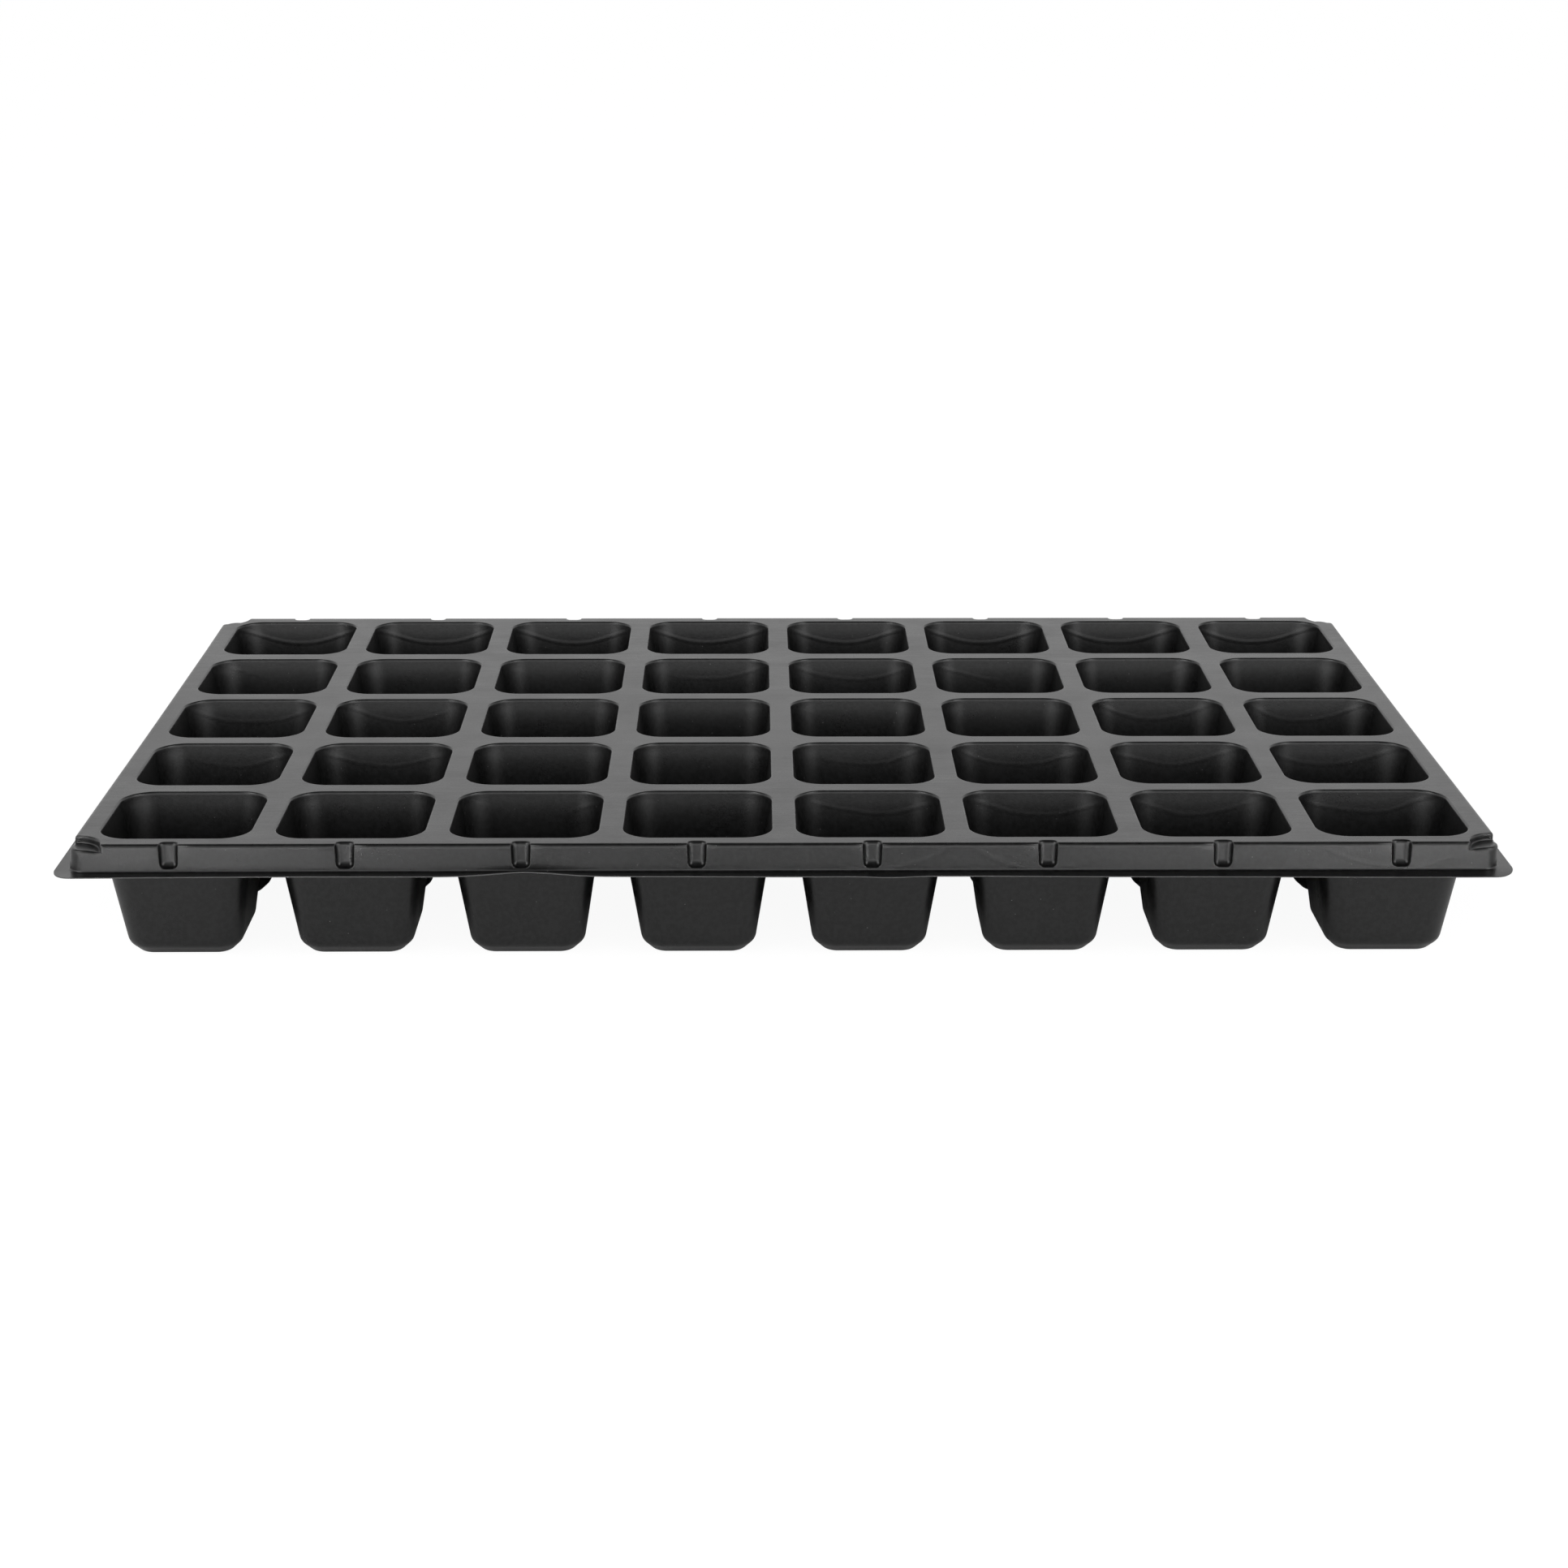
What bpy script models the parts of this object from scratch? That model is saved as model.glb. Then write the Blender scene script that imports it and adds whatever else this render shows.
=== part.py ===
"""Sprouting tray: a thermoformed sheet of black plastic with a grid of tapered cells.

The sheet is divided along the middle of its bars, where a gardener cuts cells apart, and
along the deck inside the rim. Each cell, rim length and rim corner is a shell of the
sheet's thickness. The origin is under the middle of the tray, on the surface it stands on.
+X runs along the long side, -Y is the front and +Z is up.
"""

import math

import bmesh
import bpy
from mathutils import Vector

MM = 0.001

# The grid of cells
COLUMNS = 8
ROWS = 5
BAR_WIDTH = 9.0 * MM

# The sheet, and the clearance left at every seam
SHEET = 0.7 * MM
SEAM = 0.3 * MM

# One cell, measured on its inner face: mouth, rounded lip, tapered wall, sloped foot and floor
TRAY_HEIGHT = 46.0 * MM
MOUTH_WIDTH = 51.0 * MM
MOUTH_RADIUS = 10.5 * MM
LIP_ROUND = 1.2 * MM
WALL_FOOT_WIDTH = 37.4 * MM
WALL_FOOT_RADIUS = 7.5 * MM
FLOOR_WIDTH = 28.8 * MM
FLOOR_RADIUS = 4.5 * MM
FOOT_RISE = 3.8 * MM
DRAIN_DIAMETER = 10.0 * MM
CORNER_STEPS = 3
DRAIN_SIDES = 8

# The rim: deck margin outside the lips, flared skirt and flat flange
DECK_MARGIN = 6.3 * MM
LIP_BAND = 1.0 * MM
SKIRT_HEIGHT = 9.7 * MM
SKIRT_FLARE = 1.0 * MM
SKIRT_CORNER_RADIUS = 5.0 * MM
FLANGE_WIDTH = 6.0 * MM
FLANGE_CORNER_RADIUS = 9.0 * MM

# The flutes that stiffen the long sides, one at each cell
FLUTE_WIDTH = 6.5 * MM
FLUTE_FOOT_WIDTH = 5.6 * MM
FLUTE_DEPTH = 2.5 * MM
FLUTE_LEDGE = 0.9 * MM
FLUTE_STEPS = 4

# The stacking pockets scooped out of the deck's corners
POCKET_RADIUS = 10.0 * MM
POCKET_DEPTH = 2.4 * MM
POCKET_SIDE = 3.0 * MM
POCKET_STEPS = 6

# What follows from the sizes above
HALF_SEAM = SEAM / 2
PITCH = MOUTH_WIDTH + BAR_WIDTH
LIP_REACH = MOUTH_WIDTH / 2 + LIP_ROUND
LIP_RADIUS = MOUTH_RADIUS + LIP_ROUND
DECK_REACH = LIP_REACH + DECK_MARGIN
BAND_REACH = LIP_REACH + LIP_BAND
STRIP_WIDTH = DECK_REACH - BAND_REACH
DECK_HALF_LENGTH = (COLUMNS - 1) / 2 * PITCH + DECK_REACH
DECK_HALF_WIDTH = (ROWS - 1) / 2 * PITCH + DECK_REACH
CORNER_LENGTH = POCKET_RADIUS + POCKET_SIDE
FLANGE_HEIGHT = TRAY_HEIGHT - SKIRT_HEIGHT

# The seam across a corner cell runs half way between its lip and the pocket's wall
LIP_DIAGONAL = (LIP_REACH - LIP_RADIUS) * math.sqrt(2) + LIP_RADIUS
POCKET_DIAGONAL = DECK_REACH * math.sqrt(2) - POCKET_RADIUS - SHEET
CORNER_SEAM = (LIP_DIAGONAL + POCKET_DIAGONAL) / 2

PLASTIC_COLOUR = (0.022, 0.022, 0.023, 1.0)
PLASTIC_ROUGHNESS = 0.42


def clear_scene():
    """Removes every object, so that the script can be run again."""
    for item in list(bpy.data.objects):
        bpy.data.objects.remove(item, do_unlink=True)


def plastic(name):
    """Black satin plastic, under its own name for each kind of piece."""
    material = bpy.data.materials.new(name)
    material.use_nodes = True
    shader = material.node_tree.nodes["Principled BSDF"]
    shader.inputs["Base Color"].default_value = PLASTIC_COLOUR
    shader.inputs["Roughness"].default_value = PLASTIC_ROUGHNESS
    shader.inputs["Metallic"].default_value = 0.0
    return material


def ring(shell, points):
    """Adds a closed ring of points, listed anticlockwise from above."""
    return [shell.verts.new(point) for point in points]


def rounded_square(width, radius, height):
    """Points round a square with arcs at its corners, at one height."""
    reach = width / 2 - radius
    points = []
    for quarter in range(4):
        turn = quarter * math.pi / 2
        across = reach * (math.cos(turn) - math.sin(turn))
        along = reach * (math.sin(turn) + math.cos(turn))
        for step in range(CORNER_STEPS + 1):
            angle = turn + step / CORNER_STEPS * math.pi / 2
            points.append((across + radius * math.cos(angle), along + radius * math.sin(angle), height))
    return points


def drain_outline(height):
    """Points round the drain hole, turned so that a flat faces each wall."""
    points = []
    for side in range(DRAIN_SIDES):
        angle = (side + 0.5) / DRAIN_SIDES * 2 * math.pi
        points.append((DRAIN_DIAMETER / 2 * math.cos(angle), DRAIN_DIAMETER / 2 * math.sin(angle), height))
    return points


def tile_outline(column, row):
    """Corners of the flat deck that one cell keeps, anticlockwise from its right back corner.

    A bar between two cells is shared at its middle. At the rim the cell keeps a narrow band
    outside its lip, and a cell at the tray's corner loses a corner to the pocket beside it.
    """
    shared = PITCH / 2 - HALF_SEAM
    edge = BAND_REACH - HALF_SEAM
    right = edge if column == COLUMNS - 1 else shared
    left = edge if column == 0 else shared
    back = edge if row == ROWS - 1 else shared
    front = edge if row == 0 else shared
    cut = (CORNER_SEAM - HALF_SEAM) * math.sqrt(2)
    points = []
    for across, along, runs_up in ((right, back, True), (-left, back, False),
                                   (-left, -front, True), (right, -front, False)):
        if abs(across) == edge and abs(along) == edge:
            on_side = (across, math.copysign(cut - edge, along), TRAY_HEIGHT)
            on_end = (math.copysign(cut - edge, across), along, TRAY_HEIGHT)
            points += [on_side, on_end] if runs_up else [on_end, on_side]
        else:
            points.append((across, along, TRAY_HEIGHT))
    return points


def bridge(shell, outer, inner):
    """Lofts between two rings of any counts, always across the shorter diagonal."""
    outer = outer + outer[:1]
    inner = inner + inner[:1]
    here = 0
    there = 0
    while here < len(outer) - 1 or there < len(inner) - 1:
        step_outer = there == len(inner) - 1
        if here < len(outer) - 1 and there < len(inner) - 1:
            outer_diagonal = (outer[here + 1].co - inner[there].co).length
            inner_diagonal = (inner[there + 1].co - outer[here].co).length
            step_outer = outer_diagonal <= inner_diagonal
        if step_outer:
            shell.faces.new((outer[here], outer[here + 1], inner[there]))
            here += 1
        else:
            shell.faces.new((outer[here], inner[there + 1], inner[there]))
            there += 1


def loft(shell, sections):
    """Joins open sections of equal counts with four-sided faces, and welds where they meet."""
    rows = [[shell.verts.new(point) for point in section] for section in sections]
    for upper, lower in zip(rows, rows[1:]):
        for place in range(len(upper) - 1):
            shell.faces.new((upper[place], lower[place], lower[place + 1], upper[place + 1]))
    bmesh.ops.remove_doubles(shell, verts=shell.verts, dist=SHEET / 100)


def add_piece(name, shell, material, location, turn=0.0):
    """Makes a named piece of a surface, with the sheet's thickness behind it."""
    mesh = bpy.data.meshes.new(name)
    shell.to_mesh(mesh)
    shell.free()
    mesh.materials.append(material)
    piece = bpy.data.objects.new(name, mesh)
    piece.location = location
    piece.rotation_euler = (0.0, 0.0, turn)
    bpy.data.collections["sprouting_tray"].objects.link(piece)
    sheet = piece.modifiers.new("sheet", "SOLIDIFY")
    sheet.thickness = SHEET
    sheet.offset = -1.0
    sheet.use_even_offset = True
    return piece


def add_cell(column, row, material):
    """One cell: deck, rounded lip, tapered wall, sloped foot and a floor with its drain hole."""
    shell = bmesh.new()
    floor = SHEET
    sections = (
        tile_outline(column, row),
        rounded_square(2 * LIP_REACH, LIP_RADIUS, TRAY_HEIGHT),
        rounded_square(MOUTH_WIDTH, MOUTH_RADIUS, TRAY_HEIGHT - LIP_ROUND),
        rounded_square(WALL_FOOT_WIDTH, WALL_FOOT_RADIUS, floor + FOOT_RISE),
        rounded_square(FLOOR_WIDTH, FLOOR_RADIUS, floor),
        drain_outline(floor),
    )
    rings = [ring(shell, points) for points in sections]
    for outer, inner in zip(rings, rings[1:]):
        bridge(shell, outer, inner)
    place = ((column - (COLUMNS - 1) / 2) * PITCH, (row - (ROWS - 1) / 2) * PITCH, 0.0)
    add_piece(f"cell_r{row + 1}_c{column + 1}", shell, material, place)


def flute_stations():
    """Stations along a long side: (place at the deck, place at the foot, share of the flute's depth)."""
    stations = []
    for column in range(COLUMNS):
        middle = (column - (COLUMNS - 1) / 2) * PITCH
        for step in range(FLUTE_STEPS + 1):
            angle = step / FLUTE_STEPS * math.pi
            share = -math.cos(angle)
            stations.append((middle + share * FLUTE_WIDTH / 2,
                             middle + share * FLUTE_FOOT_WIDTH / 2,
                             math.sin(angle)))
    return stations


def add_rim(name, half_length, deck_edge, stations, material, turn):
    """A straight length of rim on the front side, then turned to its own side.

    Its sections run from the deck's seam over the edge, down the flared skirt, into the flutes
    where there are any, and out along the flange.
    """
    end = half_length - CORNER_LENGTH - HALF_SEAM
    stations = [(-end, -end, 0.0), *stations, (end, end, 0.0)]
    inner = deck_edge - STRIP_WIDTH + HALF_SEAM
    ledge_height = FLANGE_HEIGHT + FLUTE_LEDGE
    ledge_flare = SKIRT_FLARE * (TRAY_HEIGHT - ledge_height) / SKIRT_HEIGHT
    skirt_foot = deck_edge + SKIRT_FLARE
    sections = [[], [], [], [], []]
    for top, foot, share in stations:
        recess = share * (FLUTE_DEPTH + ledge_flare)
        sections[0].append((top, -inner, TRAY_HEIGHT))
        sections[1].append((top, share * FLUTE_DEPTH - deck_edge, TRAY_HEIGHT))
        sections[2].append((foot, recess - deck_edge - ledge_flare, ledge_height))
        sections[3].append((foot, -skirt_foot, FLANGE_HEIGHT))
        sections[4].append((top, -skirt_foot - FLANGE_WIDTH, FLANGE_HEIGHT))
    shell = bmesh.new()
    loft(shell, sections)
    add_piece(name, shell, material, (0.0, 0.0, 0.0), turn)


def corner_arc(reach, radius, height):
    """An outer corner's outline, from the front side's end round to the right side's end.

    reach is how far the outline stands outside the deck's edges, which meet at the origin.
    """
    middle = reach - radius
    count = POCKET_STEPS - 1
    points = [(-CORNER_LENGTH + HALF_SEAM, -reach, height), (-POCKET_RADIUS, -reach, height)]
    for step in range(count):
        angle = step / (count - 1) * math.pi / 2
        points.append((middle + radius * math.sin(angle), -middle - radius * math.cos(angle), height))
    points += [(reach, POCKET_RADIUS, height), (reach, CORNER_LENGTH - HALF_SEAM, height)]
    return points


def pocket_arc(reach, height):
    """The pocket's wall, hollow towards the corner, with the skirt's edge at both ends."""
    end = CORNER_LENGTH - HALF_SEAM
    points = [(-end, -reach, height), (-POCKET_RADIUS, -reach, height)]
    for step in range(1, POCKET_STEPS):
        angle = step / POCKET_STEPS * math.pi / 2
        points.append((-POCKET_RADIUS * math.cos(angle), POCKET_RADIUS * math.sin(angle), height))
    points += [(reach, POCKET_RADIUS, height), (reach, end, height)]
    return points


def corner_seam():
    """The deck's seam at a corner: along the front strip, across the corner and along the side strip."""
    end = CORNER_LENGTH - HALF_SEAM
    strip = STRIP_WIDTH - HALF_SEAM
    cut = DECK_REACH * 2 - (CORNER_SEAM + HALF_SEAM) * math.sqrt(2) - strip
    points = [(-end, strip, TRAY_HEIGHT)]
    for step in range(POCKET_STEPS + 1):
        share = step / POCKET_STEPS
        across = cut + share * (strip - cut)
        along = strip + share * (cut - strip)
        points.append((-across, along, TRAY_HEIGHT))
    points.append((-strip, end, TRAY_HEIGHT))
    return points


def add_corner(name, side, end, material, turn):
    """A rim corner with its stacking pocket: deck, pocket wall, pocket floor, skirt and flange."""
    pocket_floor = TRAY_HEIGHT - POCKET_DEPTH
    floor_flare = SKIRT_FLARE * POCKET_DEPTH / SKIRT_HEIGHT
    foot_radius = SKIRT_CORNER_RADIUS + SKIRT_FLARE - floor_flare
    sections = (
        corner_seam(),
        pocket_arc(0.0, TRAY_HEIGHT),
        pocket_arc(floor_flare, pocket_floor),
        corner_arc(floor_flare, SKIRT_CORNER_RADIUS, pocket_floor),
        corner_arc(SKIRT_FLARE, foot_radius, FLANGE_HEIGHT),
        corner_arc(SKIRT_FLARE + FLANGE_WIDTH, FLANGE_CORNER_RADIUS, FLANGE_HEIGHT),
    )
    shell = bmesh.new()
    loft(shell, sections)
    add_piece(name, shell, material, Vector((side * DECK_HALF_LENGTH, end * DECK_HALF_WIDTH, 0.0)), turn)


def main():
    clear_scene()
    collection = bpy.data.collections.new("sprouting_tray")
    bpy.context.scene.collection.children.link(collection)

    cell_plastic = plastic("cell_plastic")
    for row in range(ROWS):
        for column in range(COLUMNS):
            add_cell(column, row, cell_plastic)

    quarter = math.pi / 2
    rim_plastic = plastic("rim_plastic")
    add_rim("rim_front", DECK_HALF_LENGTH, DECK_HALF_WIDTH, flute_stations(), rim_plastic, 0)
    add_rim("rim_right", DECK_HALF_WIDTH, DECK_HALF_LENGTH, [], rim_plastic, quarter)
    add_rim("rim_back", DECK_HALF_LENGTH, DECK_HALF_WIDTH, flute_stations(), rim_plastic, 2 * quarter)
    add_rim("rim_left", DECK_HALF_WIDTH, DECK_HALF_LENGTH, [], rim_plastic, 3 * quarter)

    corner_plastic = plastic("corner_plastic")
    add_corner("corner_front_right", 1, -1, corner_plastic, 0)
    add_corner("corner_back_right", 1, 1, corner_plastic, quarter)
    add_corner("corner_back_left", -1, 1, corner_plastic, 2 * quarter)
    add_corner("corner_front_left", -1, -1, corner_plastic, 3 * quarter)


main()
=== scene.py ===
"""Looks of the sprouting tray: its formed sheet in fine detail, its black plastic, the light and the camera.

Each piece stands for one node of the frame. Surfaces are grids of points, whose rows are sections
listed from the outside in and whose columns run anticlockwise round the tray or the cell. A bend
between two straight runs of a section is rounded by a parabola. All sizes are in metres.
"""

import math

import bmesh
import bpy
import numpy as np
from mathutils import Matrix, Vector


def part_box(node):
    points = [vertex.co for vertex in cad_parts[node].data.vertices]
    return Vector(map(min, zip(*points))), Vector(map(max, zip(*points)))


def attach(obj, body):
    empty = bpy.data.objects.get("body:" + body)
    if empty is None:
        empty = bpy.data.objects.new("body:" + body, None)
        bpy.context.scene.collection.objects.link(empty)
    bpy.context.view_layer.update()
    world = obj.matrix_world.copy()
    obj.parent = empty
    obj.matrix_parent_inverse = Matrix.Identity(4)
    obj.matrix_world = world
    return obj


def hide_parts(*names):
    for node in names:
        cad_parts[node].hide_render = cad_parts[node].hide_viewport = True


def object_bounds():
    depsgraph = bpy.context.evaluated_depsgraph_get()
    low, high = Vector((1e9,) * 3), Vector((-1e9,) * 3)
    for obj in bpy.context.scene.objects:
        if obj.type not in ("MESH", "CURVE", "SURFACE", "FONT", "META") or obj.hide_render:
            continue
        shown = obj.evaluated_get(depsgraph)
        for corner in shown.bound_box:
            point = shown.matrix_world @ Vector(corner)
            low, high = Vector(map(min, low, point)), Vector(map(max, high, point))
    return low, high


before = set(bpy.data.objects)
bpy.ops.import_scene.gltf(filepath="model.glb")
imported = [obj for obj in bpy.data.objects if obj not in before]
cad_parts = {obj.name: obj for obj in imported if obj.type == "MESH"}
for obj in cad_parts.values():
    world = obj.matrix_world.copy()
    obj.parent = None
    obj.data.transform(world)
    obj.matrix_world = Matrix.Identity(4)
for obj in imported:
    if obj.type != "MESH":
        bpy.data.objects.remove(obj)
cad_low, cad_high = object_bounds()

MM = 0.001

# The grid of cells, as the frame holds it
COLUMNS = 8
ROWS = 5
DECK = cad_high.z


def node_middle(node):
    """The middle of a node's box."""
    low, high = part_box(node)
    return (low + high) / 2


PITCH = (node_middle("cell_r3_c3") - node_middle("cell_r3_c2")).x

# The sheet, and the share of its thickness that is left at the flange's trimmed edge
SHEET = 0.7 * MM
EDGE_SHARE = 0.5
WELD = 0.002 * MM

# One cell, measured on its inner face
MOUTH_REACH = 25.8 * MM
MOUTH_RADIUS = 10.5 * MM
COLLAR_HEIGHT = 2.6 * MM
COLLAR_DRAFT = 0.35 * MM
COLLAR_ROUND = 1.4 * MM
LIP_ROUND = 1.1 * MM
LIP_MARGIN = 0.4 * MM
WALL_FOOT_REACH = 19.35 * MM
WALL_FOOT_RADIUS = 7.5 * MM
FLOOR_REACH = 15.4 * MM
FLOOR_RADIUS = 4.2 * MM
FOOT_RISE = 3.8 * MM
WALL_FOOT_ROUND = 1.6 * MM
FLOOR_ROUND = 1.2 * MM
DRAIN_RADIUS = 5.0 * MM

# The rim, its flutes and its pockets
LIP_BAND = 1.0 * MM
DECK_MARGIN = 6.1 * MM
EDGE_ROUND = 1.3 * MM
SKIRT_HEIGHT = 9.55 * MM
SKIRT_FLARE = 1.0 * MM
SKIRT_CORNER_RADIUS = 5.0 * MM
SKIRT_FOOT_ROUND = 0.7 * MM
FLANGE_WIDTH = 6.0 * MM
FLANGE_CORNER_RADIUS = 9.0 * MM
FLUTE_WIDTH = 7.0 * MM
FLUTE_FOOT_WIDTH = 6.2 * MM
FLUTE_DEPTH = 2.5 * MM
FLUTE_SIDE = 2.4 * MM
FLUTE_EDGE_ROUND = 0.45 * MM
FLUTE_LEDGE = 1.0 * MM
FLUTE_CORNER_RADIUS = 1.9 * MM
POCKET_RADIUS = 10.0 * MM
POCKET_DEPTH = 2.7 * MM
POCKET_FLOOR_RISE = 0.9 * MM
POCKET_FLOOR_SLOPE = 0.14
POCKET_SIDE = 3.0 * MM
POCKET_ROUND = 0.8 * MM
POCKET_EDGE_ROUND = 0.9 * MM

LIP_REACH = MOUTH_REACH + LIP_ROUND
LIP_RADIUS = MOUTH_RADIUS + LIP_ROUND
DECK_REACH = LIP_REACH + DECK_MARGIN
BAND_REACH = LIP_REACH + LIP_BAND
STRIP_WIDTH = DECK_REACH - BAND_REACH
HALF_LENGTH = (COLUMNS - 1) / 2 * PITCH + DECK_REACH
HALF_WIDTH = (ROWS - 1) / 2 * PITCH + DECK_REACH
CORNER_LENGTH = POCKET_RADIUS + POCKET_SIDE
FLANGE = DECK - SKIRT_HEIGHT
LIP_DIAGONAL = (LIP_REACH - LIP_RADIUS) * math.sqrt(2) + LIP_RADIUS
POCKET_DIAGONAL = DECK_REACH * math.sqrt(2) - POCKET_RADIUS - SHEET
CORNER_SEAM = (LIP_DIAGONAL + POCKET_DIAGONAL) / 2

# How finely the grids are drawn
SIDE_STEPS = 10
ARC_STEPS = 14
BEND_STEPS = 7
POCKET_STEPS = 28
POCKET_ARC_SKIP = 4
FLUTE_SIDE_STEPS = 22
FLUTE_BACK_STEPS = 4
REST_STEPS = 9
END_STATIONS = 40
STRIP_STATIONS = 3
TURN_STATIONS = 2 * BEND_STEPS + POCKET_STEPS + 1

# A bend: the share of a run that its bends may take, and how far out the row beside a bend lies
BEND_SHARE = 0.8
BEND_MARGIN = 1.2

# The least slope of a line to a side that it is said to meet
LEAST_CLOSING = 1e-9

# The handled front flange: (place along the front, half width, rise of the edge)
FLANGE_WAVES = (
    (-170.0 * MM, 80.0 * MM, 0.6 * MM),
    (-88.0 * MM, 15.0 * MM, 1.6 * MM),
    (-50.0 * MM, 60.0 * MM, 0.4 * MM),
    (36.0 * MM, 7.0 * MM, -0.45 * MM),
    (58.0 * MM, 40.0 * MM, 0.35 * MM),
    (225.0 * MM, 60.0 * MM, -0.4 * MM),
)
WAVE_START = 0.25

# The handled tray: where a change starts, over what length it grows, and its size
RIGHT_DRAW = (150.0 * MM, 93.0 * MM, 1.5 * MM)
RIGHT_EDGE_DRAW = (228.0 * MM, 15.0 * MM, 0.4 * MM)
RIGHT_TUCK = (236.0 * MM, 8.0 * MM, 0.8 * MM)
RIGHT_TRIM = 1.25 * MM
LEFT_EDGE_DRAW = (228.0 * MM, 15.0 * MM, 0.7 * MM)
LEFT_TRIM = 1.2 * MM
BACK_LIFT = (90.0 * MM, 70.0 * MM, 0.45 * MM)
DECK_SAG = 0.35 * MM
SAG_PLACE = -10.0 * MM
SAG_HALF_WIDTH = 85.0 * MM

# The plastic's colours and its index of refraction
BLACK_LOW = (0.0012, 0.0012, 0.0012, 1.0)
BLACK_HIGH = (0.0052, 0.0052, 0.0054, 1.0)
DUST = (0.2, 0.2, 0.2, 1.0)
DUST_SHARE = 0.5
CUT_LOW = (0.03, 0.03, 0.03, 1.0)
CUT_HIGH = (0.07, 0.07, 0.07, 1.0)
PLASTIC_IOR = 1.5

# Its patterns, in repeats per metre, and the ranges in which they turn from one state to the other
DECK_FADE = (DECK - 0.5 * MM, DECK - 0.1 * MM)
LINE_SCALE = (12.0, 520.0, 520.0)
LINE_SHARE = 0.55
DASH_SCALE = (160.0, 1100.0, 1100.0)
DASH_SHARE = 0.45
STREAK_ROUGHNESS = 0.6
GRAIN_SCALE = 1400.0
CLOUD_SCALE = 60.0
PEEL_SCALE = 620.0
PEEL_RANGE = (0.35, 0.65)
DUST_SCALE = 260.0
DUST_RADIUS = (0.025, 0.055)
DUST_CHOICE = (0.35, 0.37)
CUT_GRAIN_SCALE = 900.0

# How rough it is, and what each pattern adds
ROUGHNESS = 0.31
LINE_ROUGHNESS = 0.2
CLOUD_ROUGHNESS = 0.12
GRAIN_ROUGHNESS = 0.1
CUT_ROUGHNESS = 0.5
CUT_GRAIN_ROUGHNESS = 0.2

# Its relief: the height that a pattern of 1 has, and the height of each pattern
RELIEF_HEIGHT = 0.06 * MM
RELIEF_STRENGTH = 0.5
GRAIN_RELIEF = 0.6
PEEL_RELIEF = 0.15
LINE_RELIEF = 0.9
CHILL_RELIEF = 0.8
REAR_CHILL_RELIEF = 1.1

# The chill marks: arcs on the walls, in patches, and steady in every cell of the last row
CHILL_DROP = 8.8 * MM
CHILL_BOW = 40.0 * MM
CHILL_HALF_WIDTH = 1.5 * MM
CHILL_DRIFT = 6.0 * MM
REAR_STEADINESS = 4.5 * MM
DRIFT_SCALE = 28.0
PATCH_SCALE = 13.0
PATCH_RANGE = (0.5, 0.62)
REAR_START = (1.5 * PITCH, 1.6 * PITCH)
REAR_END = (149.0 * MM, 150.0 * MM)

# The floor
FLOOR_SIZE = 30.0
FLOOR_DROP = 0.1 * MM
FLOOR_COLOUR = (0.9, 0.9, 0.9, 1.0)
FLOOR_GLOW = 1.1
FLOOR_GLOW_SHARE = 0.85
WHITE = (1.0, 1.0, 1.0, 1.0)

# The studio round the tray, by the parts of a direction that point back, aside and up
FRONT_FADE = (-0.6, 0.0)
FLANK_START = (0.1, 0.45)
FLANK_END = (0.6, 0.85)
LOW_FADE = (0.05, 0.35)
OVERHEAD_FADE = (0.45, 0.8)
FRONT_GLOW = 1.5
FLANK_GLOW = 1.3
OVERHEAD_DIMMING = 0.92

# The lamps: (name, place, aim, watts, seen in the plastic, spread in degrees)
LAMPS = (
    ("left_lamp", (-1.15, -0.85, 1.05), (0.0, 0.0, 0.0), 8.6, True, 180.0),
    ("right_lamp", (1.15, -0.85, 1.05), (0.0, 0.0, 0.0), 7.7, True, 180.0),
    ("front_floor_lamp", (0.0, -1.6, 0.9), (0.0, 0.0, 0.0), 2.0, False, 180.0),
    ("left_floor_lamp", (-0.5, -0.8, 0.5), (-0.5, -0.8, 0.0), 10.5, False, 70.0),
    ("right_floor_lamp", (0.5, -0.8, 0.5), (0.5, -0.8, 0.0), 10.5, False, 70.0),
)
MIRRORED_LAMP_SIZE = 0.8
MATT_LAMP_SIZE = 0.4

# The camera of the photograph
CAMERA_PLACE = (-10.3 * MM, -1066.6 * MM, 361.6 * MM)
CAMERA_PITCH = 17.849
CAMERA_YAW = -0.629
CAMERA_ROLL = 0.085
CAMERA_LENS = 65.08
CAMERA_SENSOR = 36.0


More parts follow.
